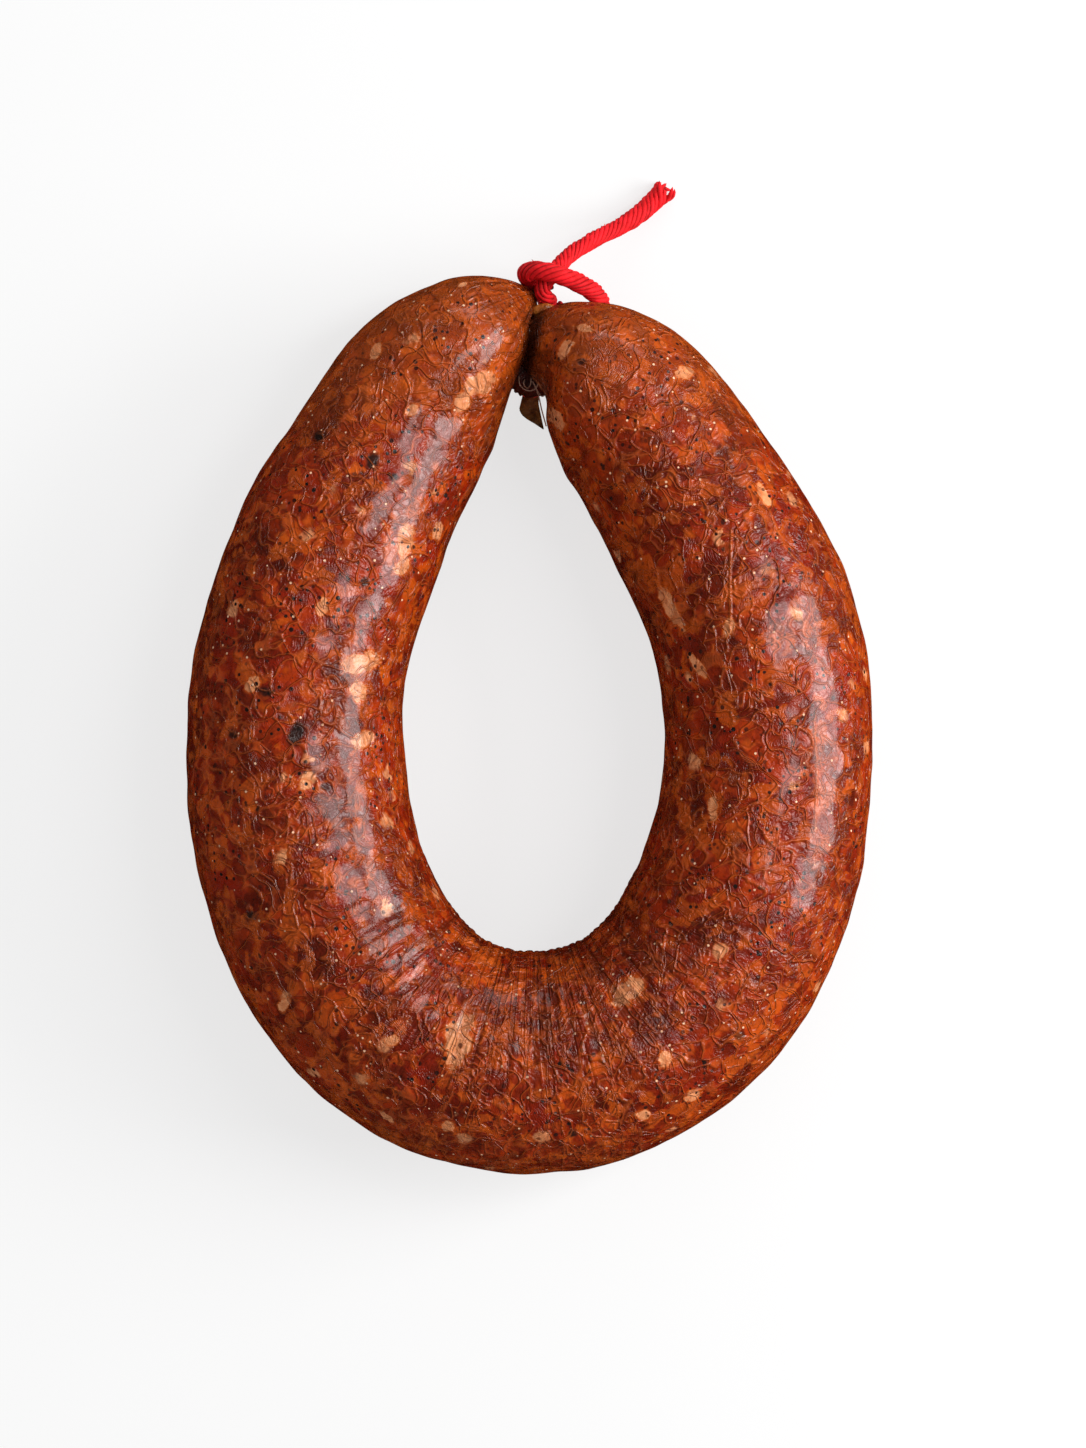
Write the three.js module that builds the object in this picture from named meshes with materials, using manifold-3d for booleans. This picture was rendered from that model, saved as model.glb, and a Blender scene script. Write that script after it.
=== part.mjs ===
import * as THREE from 'three';
import { mergeVertices } from 'three/addons/utils/BufferGeometryUtils.js';
import Module from 'manifold-3d';

// A cured sausage: one horseshoe link lying flat, its two ends gathered, pressed together and
// tied with one length of twine. Millimetres, +Z up, +Y from the bend to the tied ends.

// Driving dimensions: the link seen from above
const ringReach = 83.0;          // limb centreline to limb centreline, at the widest level
const ringMiddle = 0.3;          // X of the middle of the two limbs
const widestLevel = -3.2;        // Y of the widest level
const bendDepth = 56.4;          // widest level down to the centreline of the bend
const leftShoulderLevel = 55.3;  // Y where the left limb becomes its rounded end
const rightShoulderLevel = 51.0;
const leftLean = 60.5;           // direction of each limb at its shoulder, degrees from +X
const rightLean = 124;
const leftPole = new THREE.Vector2(0.8, 75.6);    // where each rounded end closes
const leftPoleLean = 36;
const rightPole = new THREE.Vector2(-1.6, 63.1);
const rightPoleLean = 212;

// Driving dimensions: thickness
const calibre = 38.6;            // at the foot of the bend
const leftHaunchSwell = 1.0;     // extra, between the foot and the left side
const leftSideTaper = 0.8;       // lost at the left side, at the widest level
const leftTaper = 6.6;           // lost at the left shoulder
const rightSideTaper = 2.0;
const rightTaper = 6.6;
const leftMidTaper = 1.2;        // lost halfway up the left limb, on top of leftSideTaper
const rightMidTaper = 0.8;       // lost halfway up the right limb, on top of rightSideTaper
const rightHaunchTaper = 0.2;    // lost halfway from the foot to the right side
const flatDepth = 0.8;           // how far the underside has settled where it rests
const endDrop = 1.6;             // a rounded end's axis lies this far under half the calibre
const leftPoleDrop = 7;          // and the poles this far
const rightPoleDrop = 7.3;

// Driving dimensions: the rounding of the ends. Fullness keeps the shoulder wide for longer, and
// a low bluntness closes the pole late.
const leftFullness = 1.45;
const leftBluntness = 0.607;
const leftDropShare = 0.7;       // share of the end where its axis starts to drop to the pole
const rightFullness = 1.4;
const rightBluntness = 0.42;
const rightDropShare = 0.6;
const liftShare = 0.6;           // share of the end where its axis has lifted off the table

// Driving dimensions: the pressed ends, their necks and the twine
const creaseTop = new THREE.Vector2(2.0, 74.0);
const creaseLean = 12;           // degrees that the crease leans from +Y towards +X
const creaseGap = 0.8;           // between the two ends where they press
const rightStandOff = 3.0;       // extra room between the right shoulder and the crease
const neckRadius = 0.9;          // gathered casing under the twine
const twineDiameter = 2.7;
const touchGap = 0.3;            // between pieces that touch
const tailThickness = 0.7;       // the flattened casing past the right tie
const leftNeckSunk = 3;          // how far inside the left pole its neck starts
const leftNeckDip = 0.15;        // how steeply the left neck points down
const leftFlareRadius = 2.6;     // where the left end gathers into its neck
const leftFlareLength = 2.2;
const leftLipFlare = 0.4;        // cut casing past the left tie
const leftLipLength = 0.8;
const rightNeck = new THREE.Vector2(0.4, 62.3);
const skirtRadius = 4.4;         // where the right end gathers over its neck
const skirtTopRadius = 3.4;
const skirtDepth = 5.6;          // from the right pole's height down to the neck proper
const sides = 16;                // of a neck's section

// How long each stretch of the centreline keeps the direction of its end
const shoulderHandle = 21;
const sideHandle = 23;
const bendHandle = 33;
const footHandle = 25;
const leftPoleHandle = 4;
const leftEndHandle = 13.5;
const rightEndHandle = 5;
const rightPoleHandle = 10.5;

const around = 24;               // sides of the link's section

const radians = THREE.MathUtils.degToRad;
const mix = THREE.MathUtils.lerp;
const heading = (degrees) =>
  new THREE.Vector2(Math.cos(radians(degrees)), Math.sin(radians(degrees)));
const along = (start, degrees, distance) =>
  start.clone().addScaledVector(heading(degrees), distance);
const bezier = (start, startLean, startHandle, end, endLean, endHandle) =>
  new THREE.CubicBezierCurve(start, along(start, startLean, startHandle),
    along(end, endLean, -endHandle), end);

// The crease is a leaning upright plane. Each shoulder stands off it by its own radius.
const creaseX = (y) => creaseTop.x + (y - creaseTop.y) * Math.tan(radians(creaseLean));
const shoulder = (side, level, lean, room) =>
  new THREE.Vector2(creaseX(level) + side * room / Math.sin(radians(lean)), level);
const leftShoulderRadius = (calibre - leftTaper) / 2;
const rightShoulderRadius = (calibre - rightTaper) / 2;
const leftShoulder = shoulder(-1, leftShoulderLevel, leftLean,
  leftShoulderRadius + creaseGap / 2);
const rightShoulder = shoulder(1, rightShoulderLevel, rightLean,
  rightShoulderRadius + creaseGap / 2 + rightStandOff);

// The centreline, from the left pole round the bend to the right pole
const leftSide = new THREE.Vector2(ringMiddle - ringReach / 2, widestLevel);
const rightSide = new THREE.Vector2(ringMiddle + ringReach / 2, widestLevel);
const foot = new THREE.Vector2(ringMiddle, widestLevel - bendDepth);
const leftEnd = bezier(leftPole, leftPoleLean + 180, leftPoleHandle,
  leftShoulder, leftLean + 180, leftEndHandle);
const leftLimb = bezier(leftShoulder, leftLean + 180, shoulderHandle, leftSide, -90, sideHandle);
const leftBend = bezier(leftSide, -90, bendHandle, foot, 0, footHandle);
const rightBend = bezier(foot, 0, footHandle, rightSide, 90, bendHandle);
const rightLimb = bezier(rightSide, 90, sideHandle, rightShoulder, rightLean, shoulderHandle);
const rightEnd = bezier(rightShoulder, rightLean, rightEndHandle,
  rightPole, rightPoleLean, rightPoleHandle);

// Sections give the radius and the height of the axis at a share t of a stretch. The limbs and
// the bend lie settled on their underside, and the ends lift off it.
const settled = (radius) => radius - flatDepth;
const leftPoleHeight = calibre / 2 - leftPoleDrop;
const rightPoleHeight = calibre / 2 - rightPoleDrop;

const taper = (...thicknesses) => {
  const curve = new THREE.SplineCurve(
    thicknesses.map((thickness, i) => new THREE.Vector2(i, thickness)));
  return (t) => {
    const radius = curve.getPoint(t).y / 2;
    return { radius, height: settled(radius) };
  };
};

// A rounded end runs from its shoulder (share 0) to its pole (share 1). It lifts to endLift by
// the share liftShare, and from the share dropShare its axis runs to the height of its pole.
const endLift = calibre / 2 - endDrop;
const roundedEnd = (shoulderRadius, fullness, blunt, poleHeight, dropShare) => (share) => {
  const radius = shoulderRadius * Math.pow(1 - Math.pow(share, fullness), blunt);
  const lift = THREE.MathUtils.smoothstep(share, 0, liftShare);
  const drop = THREE.MathUtils.smoothstep(share, dropShare, 1);
  const lifted = mix(settled(shoulderRadius), endLift, lift);
  return { radius, height: mix(lifted, poleHeight, drop) };
};
const leftRounding = roundedEnd(
  leftShoulderRadius, leftFullness, leftBluntness, leftPoleHeight, leftDropShare);
const rightRounding = roundedEnd(
  rightShoulderRadius, rightFullness, rightBluntness, rightPoleHeight, rightDropShare);

const leftSideThickness = calibre - leftSideTaper;
const rightSideThickness = calibre - rightSideTaper;
const stretches = [
  { curve: leftLimb, steps: 10,
    section: taper(2 * leftShoulderRadius, leftSideThickness - leftMidTaper, leftSideThickness) },
  { curve: leftBend, steps: 12,
    section: taper(leftSideThickness, calibre + leftHaunchSwell, calibre) },
  { curve: rightBend, steps: 12,
    section: taper(calibre, calibre - rightHaunchTaper, rightSideThickness) },
  { curve: rightLimb, steps: 10,
    section: taper(rightSideThickness, rightSideThickness - rightMidTaper, 2 * rightShoulderRadius) },
];

// Stations crowd towards a pole, so that each end stays round.
const endSteps = 12;
const stations = [];
const addStation = (curve, t, { radius, height }) =>
  stations.push({ point: curve.getPointAt(t), tangent: curve.getTangentAt(t), radius, height });
const crowded = (step) => Math.sin(step / endSteps * Math.PI / 2);
for (let step = endSteps; step >= 0; step -= 1) {
  addStation(leftEnd, 1 - crowded(step), leftRounding(crowded(step)));
}
stretches.forEach(({ curve, steps, section }) => {
  for (let step = 1; step <= steps; step += 1) {
    addStation(curve, step / steps, section(step / steps));
  }
});
for (let step = 1; step <= endSteps; step += 1) {
  addStation(rightEnd, crowded(step), rightRounding(crowded(step)));
}

// The link is turned on a lathe as a straight body, one ring of points to each station. Each
// ring is then stood up across the centreline, settled on the table and kept off the crease.
const linkGeometry = () => {
  const profile = stations.map(({ radius }, row) => new THREE.Vector2(radius, row));
  profile[0].x = 0;
  profile[profile.length - 1].x = 0;
  const geometry = new THREE.LatheGeometry(profile, around);
  const position = geometry.attributes.position;
  for (let i = 0; i < position.count; i += 1) {
    const row = Math.round(position.getY(i));
    const { point, tangent, height } = stations[row];
    const across = position.getX(i);
    const y = point.y - across * tangent.x;
    const z = Math.max(0, height + position.getZ(i));
    let x = point.x + across * tangent.y;
    const pressed = row < endSteps + stretches[0].steps && y < creaseTop.y;
    if (pressed) x = Math.min(x, creaseX(y) - creaseGap / 2);
    position.setXYZ(i, x, y, z);
  }
  return geometry;
};

// A gathered neck is turned from a profile of radius and distance along its axis.
const neckGeometry = (profile, start, direction) => {
  const geometry = new THREE.LatheGeometry(
    profile.map(([radius, distance]) => new THREE.Vector2(radius, distance)), sides);
  const turn = new THREE.Quaternion().setFromUnitVectors(
    new THREE.Vector3(0, 1, 0), direction.clone().normalize());
  return geometry.applyQuaternion(turn).translate(start.x, start.y, start.z);
};

// The left neck leaves the pole of its end, lower than the middle of the link.
const leftNeckLength = twineDiameter + 3 * touchGap;
const leftNeckGeometry = () => {
  const turn = heading(leftPoleLean);
  const start = along(leftPole, leftPoleLean, -leftNeckSunk);
  const tied = leftFlareLength + leftNeckLength;
  return neckGeometry([
    [0, 0], [leftFlareRadius, 0.2], [leftFlareRadius - 0.6, leftFlareLength - 0.7],
    [neckRadius, leftFlareLength], [neckRadius, tied],
    [neckRadius + leftLipFlare, tied + leftLipLength - 0.2], [0, tied + leftLipLength],
  ], new THREE.Vector3(start.x, start.y, leftPoleHeight),
  new THREE.Vector3(turn.x, turn.y, -leftNeckDip));
};

// The right neck hangs straight down from a gathered skirt under its end.
const skirtHeight = rightPoleHeight - tailThickness;
const skirtRim = skirtHeight - skirtDepth / 2;
const rightNeckGeometry = () => neckGeometry([
  [0, 0], [neckRadius, 0], [neckRadius, skirtHeight - skirtDepth],
  [skirtRadius - 0.1, skirtRim - 1.5], [skirtRadius, skirtRim],
  [skirtTopRadius, skirtHeight - 0.6], [0, skirtHeight],
], new THREE.Vector3(rightNeck.x, rightNeck.y, tailThickness), new THREE.Vector3(0, 0, 1));

// The casing past the right tie is a flattened leaf that runs out from under the neck.
const tailOutline = [[-1.2, 63.5], [1.6, 63.5], [1.7, 60], [1.4, 57.1], [2.5, 52.3], [0.7, 53.5],
  [-1.5, 54.9], [-2, 56], [-1.6, 57.7], [-1, 60]];
const tailGeometry = () => {
  const shape = new THREE.Shape(tailOutline.map(([x, y]) => new THREE.Vector2(x, y)));
  const geometry = new THREE.ExtrudeGeometry(shape,
    { depth: tailThickness, bevelEnabled: false });
  return geometry.translate(0, 0, touchGap);
};

// Booleans: a closed three.js geometry becomes a solid, and the union becomes a geometry.
const wasm = await Module();
wasm.setup();
const toSolid = (geometry) => {
  geometry.deleteAttribute('normal');
  geometry.deleteAttribute('uv');
  const merged = mergeVertices(geometry, 1e-4);
  return new wasm.Manifold(new wasm.Mesh({
    numProp: 3,
    vertProperties: merged.attributes.position.array,
    triVerts: new Uint32Array(merged.index.array),
  }));
};
const toGeometry = (solid) => {
  const { vertProperties, triVerts } = solid.getMesh();
  const geometry = new THREE.BufferGeometry();
  geometry.setAttribute('position', new THREE.BufferAttribute(vertProperties, 3));
  geometry.setIndex(new THREE.BufferAttribute(triVerts, 1));
  geometry.computeVertexNormals();
  return geometry;
};

// Meat and casing are one body: the link, its two necks and the tail past the right tie
const casing = new THREE.MeshStandardMaterial({ color: 0x8c2f12, roughness: 0.35 });
const sausageSolid = [leftNeckGeometry(), rightNeckGeometry(), tailGeometry()]
  .reduce((solid, geometry) => solid.add(toSolid(geometry)), toSolid(linkGeometry()));
const sausage = new THREE.Mesh(toGeometry(sausageSolid), casing);
sausage.name = 'sausage';

// The twine is one cord. It starts as a stub by the crease, goes under the right end, round its
// neck and back out, up over the gap and round the left neck, under itself, and lies down as a
// free end. Chosen points along its middle:
const twineRoute = [
  [4.3, 74.2, 6.6], [5.2, 73, 6.1], [5.2, 71.5, 5.5], [4.3, 69, 4.7], [3.6, 65.5, 4.1],
  [3.35, 62.3, 3.9], [2.5, 60.2, 3.6], [0.4, 59.3, 3.4], [-1.7, 60.2, 3.1], [-2.55, 62.3, 2.7],
  [-1.9, 64.7, 2.1], [0.2, 67, 1.7], [3.0, 69.1, 1.5], [6.8, 70.5, 1.5], [10.2, 70.7, 3.0],
  [12.3, 71.9, 6.2], [12.7, 73.8, 9.6], [11.6, 75.4, 12.8], [9.3, 76.8, 15.6],
  [6.4, 77.8, 17.6], [3.5, 78.7, 18.2], [0.8, 79.2, 17.0], [-0.6, 78.9, 14.6],
  [-0.3, 78.5, 11.7], [0.4, 77.8, 9.6], [1.7, 76.3, 8.6], [2.9, 74.8, 9.2],
  [3.4, 74.45, 11.0], [3.0, 74.6, 13.2], [2.2, 75.8, 14.8], [2.8, 77.4, 15.0],
  [4.3, 79.3, 14.1], [7.0, 82.5, 11.4], [11.1, 85.5, 8.2], [15.1, 87.8, 5.3], [19.3, 90.6, 3.1],
  [21.9, 93.1, 1.8], [25.0, 96.1, 1.45],
].map(([x, y, z]) => new THREE.Vector3(x, y, z));

const twineSteps = 78;
const twineGeometry = () => {
  const section = new THREE.Shape();
  for (let corner = 0; corner < 8; corner += 1) {
    const point = heading(corner * 45 + 22.5).multiplyScalar(twineDiameter / 2);
    if (corner === 0) section.moveTo(point.x, point.y);
    else section.lineTo(point.x, point.y);
  }
  section.closePath();
  const path = new THREE.CatmullRomCurve3(twineRoute);
  return new THREE.ExtrudeGeometry(section,
    { steps: twineSteps, extrudePath: path, bevelEnabled: false });
};
const cotton = new THREE.MeshStandardMaterial({ color: 0xd3101c, roughness: 0.9 });
const twine = new THREE.Mesh(twineGeometry(), cotton);
twine.name = 'tie_string';

const model = new THREE.Group();
model.add(sausage, twine);
export default model;
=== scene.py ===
import math
import random

import bmesh
import bpy
import numpy as np
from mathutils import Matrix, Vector, noise
from mathutils.geometry import interpolate_bezier


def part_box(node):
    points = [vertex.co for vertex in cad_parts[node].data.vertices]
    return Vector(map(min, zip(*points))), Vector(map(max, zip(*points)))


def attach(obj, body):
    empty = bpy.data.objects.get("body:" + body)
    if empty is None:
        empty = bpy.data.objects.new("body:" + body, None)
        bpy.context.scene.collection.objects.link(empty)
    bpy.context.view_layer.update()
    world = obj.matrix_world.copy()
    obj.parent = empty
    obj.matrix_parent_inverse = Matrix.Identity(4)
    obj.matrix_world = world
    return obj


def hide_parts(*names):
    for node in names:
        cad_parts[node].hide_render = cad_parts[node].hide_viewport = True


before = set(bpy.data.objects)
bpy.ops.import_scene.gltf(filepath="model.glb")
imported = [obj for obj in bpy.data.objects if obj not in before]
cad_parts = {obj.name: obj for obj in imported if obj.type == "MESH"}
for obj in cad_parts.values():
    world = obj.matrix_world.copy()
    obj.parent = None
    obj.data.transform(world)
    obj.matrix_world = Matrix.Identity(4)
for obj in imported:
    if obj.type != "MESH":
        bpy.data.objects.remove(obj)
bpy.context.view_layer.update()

MM = 0.001
MERGE = 0.002 * MM                 # points of a grid nearer than this are one point
TURN = 2 * math.pi

# ---------------------------------------------------------------- camera

LENS = 100
SENSOR_WIDTH = 36
CAMERA_HEIGHT = 704 * MM          # above the middle of the link's thickness
CAMERA_OVER = (2.3 * MM, -0.5 * MM)


def make_camera():
    """Looks straight down on the ring, with the tied ends at the top of the frame."""
    data = bpy.data.cameras.new("camera")
    data.lens = LENS
    data.sensor_width = SENSOR_WIDTH
    data.clip_start = 0.01
    camera = bpy.data.objects.new("camera", data)
    low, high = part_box("sausage")
    camera.location = (*CAMERA_OVER, (low[2] + high[2]) / 2 + CAMERA_HEIGHT)
    bpy.context.scene.collection.objects.link(camera)
    bpy.context.scene.camera = camera


# ---------------------------------------------------------------- mesh helpers


def add_piece(name, bm, replaced):
    """Turns a bmesh into a shown piece that rides on the root body."""
    mesh = bpy.data.meshes.new(name)
    bmesh.ops.recalc_face_normals(bm, faces=bm.faces)
    bm.to_mesh(mesh)
    bm.free()
    mesh.polygons.foreach_set("use_smooth", [True] * len(mesh.polygons))
    piece = bpy.data.objects.new(name, mesh)
    bpy.context.scene.collection.objects.link(piece)
    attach(piece, "root")
    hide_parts(*replaced)
    return piece


def rolled_grid(bm, points):
    """A grid of faces over points[row][column]; a closed seam and closed ends are merged.

    The UVs run from 0 to 1 along the rows (U) and round the columns (V).
    """
    rows, columns = len(points) - 1, len(points[0]) - 1
    bm.loops.layers.uv.verify()
    made = bmesh.ops.create_grid(
        bm, x_segments=rows, y_segments=columns, size=0.5, calc_uvs=True)
    for vert in made["verts"]:
        row = round((vert.co.x + 0.5) * rows)
        column = round((vert.co.y + 0.5) * columns)
        vert.co = points[row][column]
    bmesh.ops.remove_doubles(bm, verts=made["verts"], dist=MERGE)


def frames_along(points):
    """Tangents and two side directions that don't twist, for each point of a path."""
    tangents = np.gradient(points, axis=0)
    tangents /= np.linalg.norm(tangents, axis=1)[:, None]
    side = np.cross(tangents[0], (0.0, 0.0, 1.0))
    sides = []
    for tangent in tangents:
        side = side - tangent * side.dot(tangent)
        side = side / np.linalg.norm(side)
        sides.append(side)
    sides = np.array(sides)
    return tangents, sides, np.cross(tangents, sides)


def tube_points(line, radii, around):
    """Points of a round tube along a line, with one radius for each of its points."""
    _, sides, ups = frames_along(line)
    turn = np.linspace(0.0, TURN, around + 1)
    offset = (sides[:, None, :] * np.cos(turn)[None, :, None]
              + ups[:, None, :] * np.sin(turn)[None, :, None])
    return line[:, None, :] + offset * np.asarray(radii)[:, None, None]


def evenly(points, step):
    """The same path with evenly spaced points about step apart, and its length."""
    points = np.asarray(points)
    gaps = np.linalg.norm(np.diff(points, axis=0), axis=1)
    reached = np.concatenate([[0.0], np.cumsum(gaps)])
    wanted = np.linspace(0.0, reached[-1], int(round(reached[-1] / step)) + 1)
    even = [np.interp(wanted, reached, points[:, k]) for k in range(points.shape[1])]
    return np.stack(even, axis=1), reached[-1]


def smooth_through(points, steps=12):
    """A path through every point with tangents from its neighbours."""
    points = [Vector(p) for p in points]
    ends = [points[0] * 2 - points[1], *points, points[-1] * 2 - points[-2]]
    path = []
    for before, start, stop, after in zip(ends, ends[1:], ends[2:], ends[3:]):
        out = start + (stop - before) / 6
        into = stop - (after - start) / 6
        path += interpolate_bezier(start, out, into, stop, steps)[:-1]
    return [tuple(p) for p in [*path, points[-1]]]


def smoothstep(value, low, high):
    share = np.clip((value - low) / (high - low), 0.0, 1.0)
    return share * share * (3 - 2 * share)


# ---------------------------------------------------------------- material helpers


class Paint:
    """A material's node tree with short ways to add nodes; values or sockets both do."""

    def __init__(self, name):
        self.material = bpy.data.materials.new(name)
        self.material.use_nodes = True
        self.tree = self.material.node_tree
        self.shader = self.tree.nodes["Principled BSDF"]
        self.object = self.node("ShaderNodeTexCoord").outputs["Object"]
        self.uv = self.node("ShaderNodeTexCoord").outputs["UV"]

    def node(self, kind, **settings):
        made = self.tree.nodes.new(kind)
        for key, value in settings.items():
            setattr(made, key, value)
        return made

    def put(self, socket, value):
        if isinstance(value, bpy.types.NodeSocket):
            self.tree.links.new(value, socket)
        elif isinstance(value, tuple) and len(value) == 3 and socket.type == "RGBA":
            socket.default_value = (*value, 1.0)
        else:
            socket.default_value = value

    def set(self, **values):
        for name, value in values.items():
            self.put(self.shader.inputs[name.replace("_", " ")], value)

    def sum(self, kind, a, b=0.0, c=0.0):
        made = self.node("ShaderNodeMath", operation=kind)
        for socket, value in zip(made.inputs, (a, b, c)):
            self.put(socket, value)
        return made.outputs[0]

    def both(self, a, b):
        return self.sum("MULTIPLY", a, b)

    def plus(self, *values):
        total = values[0]
        for value in values[1:]:
            total = self.sum("ADD", total, value)
        return total

    def fade(self, value, low, high, start=0.0, stop=1.0):
        """Smooth change from start to stop as the value passes from low to high."""
        made = self.node("ShaderNodeMapRange", interpolation_type="SMOOTHSTEP")
        for socket, given in zip(made.inputs, (value, low, high, start, stop)):
            self.put(socket, given)
        return made.outputs[0]

    def blend(self, share, a, b):
        """Colour a where share is 0 and colour b where it is 1."""
        made = self.node("ShaderNodeMix", data_type="RGBA")
        self.put(made.inputs[0], share)
        self.put(made.inputs[6], a)
        self.put(made.inputs[7], b)
        return made.outputs[2]

    def moved(self, where, scale=(1, 1, 1), shift=(0, 0, 0)):
        made = self.node("ShaderNodeMapping")
        self.put(made.inputs["Vector"], where)
        made.inputs["Location"].default_value = shift
        made.inputs["Scale"].default_value = scale
        return made.outputs[0]

    def noise(self, where, size, detail=2.0, rough=0.5, twist=0.0):
        """Noise with features of the given size; size is in the units of where."""
        made = self.node("ShaderNodeTexNoise")
        self.put(made.inputs["Vector"], where)
        self.put(made.inputs["Scale"], 1 / size)
        self.put(made.inputs["Detail"], detail)
        self.put(made.inputs["Roughness"], rough)
        self.put(made.inputs["Distortion"], twist)
        return made.outputs

    def cells(self, where, size, feature="F1", soft=0.0):
        made = self.node("ShaderNodeTexVoronoi", feature=feature)
        self.put(made.inputs["Vector"], where)
        self.put(made.inputs["Scale"], 1 / size)
        if feature == "SMOOTH_F1":
            self.put(made.inputs["Smoothness"], soft)
        return made.outputs

    def pick(self, colour, index):
        made = self.node("ShaderNodeSeparateColor")
        self.put(made.inputs[0], colour)
        return made.outputs[index]

    def warped(self, where, size, reach, detail=2.0):
        """Coordinates pushed about by up to reach, with features of the given size."""
        push = self.noise(where, size, detail)["Color"]
        centred = self.node("ShaderNodeVectorMath", operation="SUBTRACT")
        self.put(centred.inputs[0], push)
        centred.inputs[1].default_value = (0.5, 0.5, 0.5)
        made = self.node("ShaderNodeVectorMath", operation="MULTIPLY_ADD")
        self.put(made.inputs[0], centred.outputs[0])
        made.inputs[1].default_value = (2 * reach,) * 3
        self.put(made.inputs[2], where)
        return made.outputs[0]

    def attribute(self, name):
        return self.node("ShaderNodeAttribute", attribute_name=name).outputs["Fac"]

    def bump(self, height, depth):
        """Raises the surface by height times depth."""
        made = self.node("ShaderNodeBump")
        self.put(made.inputs["Height"], height)
        made.inputs["Distance"].default_value = depth
        made.inputs["Strength"].default_value = 1.0
        return made.outputs[0]


# ---------------------------------------------------------------- the link's centreline

RING_REACH = 83.0
RING_MIDDLE = 0.3
WIDEST_LEVEL = -3.2
BEND_DEPTH = 56.4
LEFT_SHOULDER_LEVEL = 55.3
RIGHT_SHOULDER_LEVEL = 51.0
LEFT_LEAN = 60.5
RIGHT_LEAN = 124
LEFT_POLE = (0.8, 75.6)
LEFT_POLE_LEAN = 36
RIGHT_POLE = (-1.6, 63.1)
RIGHT_POLE_LEAN = 212
CALIBRE = 38.6
LEFT_HAUNCH_SWELL = 1.0
LEFT_SIDE_TAPER = 0.8
RIGHT_SIDE_TAPER = 2.0
END_TAPER = 6.6
FLAT_DEPTH = 0.8
CREASE_TOP = (2.0, 74.0)
CREASE_LEAN = 12
CREASE_GAP = 0.8
RIGHT_STAND_OFF = 3.0
SHOULDER_HANDLE = 21
SIDE_HANDLE = 23
BEND_HANDLE = 33
FOOT_HANDLE = 25
END_RADIUS = (CALIBRE - END_TAPER) / 2
END_DROP = 1.6                    # how far the lifted ends lie below half the calibre
LEFT_POLE_DROP = 7
RIGHT_POLE_DROP = 7.3
END_LIFT = CALIBRE / 2 - END_DROP
LEFT_POLE_HEIGHT = CALIBRE / 2 - LEFT_POLE_DROP
RIGHT_POLE_HEIGHT = CALIBRE / 2 - RIGHT_POLE_DROP
LIFT_SHARE = 0.6                  # share of an end over which it lifts off the table
LEFT_END = (1.45, 0.607, 0.7)     # fullness, bluntness, and the share where the pole drops
RIGHT_END = (1.4, 0.42, 0.6)
LEFT_POLE_HANDLE = 4
LEFT_END_HANDLE = 13.5
RIGHT_END_HANDLE = 5
RIGHT_POLE_HANDLE = 10.5
LEFT_MID_TAPER = 1.2
RIGHT_MID_TAPER = 0.8
RIGHT_HAUNCH_TAPER = 0.2
END_ROWS = 64
AROUND = 160                      # faces round the link
ROW = 0.66                        # length of a face along the link


def heading(degrees):
    return Vector((math.cos(math.radians(degrees)), math.sin(math.radians(degrees)), 0))


def stretch(start, lean, handle, end, end_lean, end_handle):
    """Even points of one stretch of the centreline, from its ends and their directions."""
    start = Vector((*start, 0))
    end = Vector((*end, 0))
    curve = interpolate_bezier(
        start, start + heading(lean) * handle, end - heading(end_lean) * end_handle, end, 200)
    return evenly([tuple(p) for p in curve], 0.1)


def crease_x(y):
    return CREASE_TOP[0] + (y - CREASE_TOP[1]) * math.tan(math.radians(CREASE_LEAN))


def shoulder(side, level, lean, room):
    return (crease_x(level) + side * room / math.sin(math.radians(lean)), level)


def taper(start, middle, end):
    """Thickness along a stretch that passes through three values."""
    knots = smooth_through([(0, start, 0), (0.5, middle, 0), (1, end, 0)], 40)
    shares = [k[0] for k in knots]
    sizes = [k[1] for k in knots]
    return lambda share: np.interp(share, shares, sizes) / 2


def rounded(share, end, pole_height):
    """Radius and height of an end, from its shoulder at share 0 to its pole at share 1."""
    fullness, blunt, drop_share = end
    radius = END_RADIUS * (1 - share ** fullness) ** blunt
    lifted = END_RADIUS - FLAT_DEPTH
    lifted = lifted + (END_LIFT - lifted) * smoothstep(share, 0, LIFT_SHARE)
    drop = smoothstep(share, drop_share, 1)
    return radius, lifted + (pole_height - lifted) * drop


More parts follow.
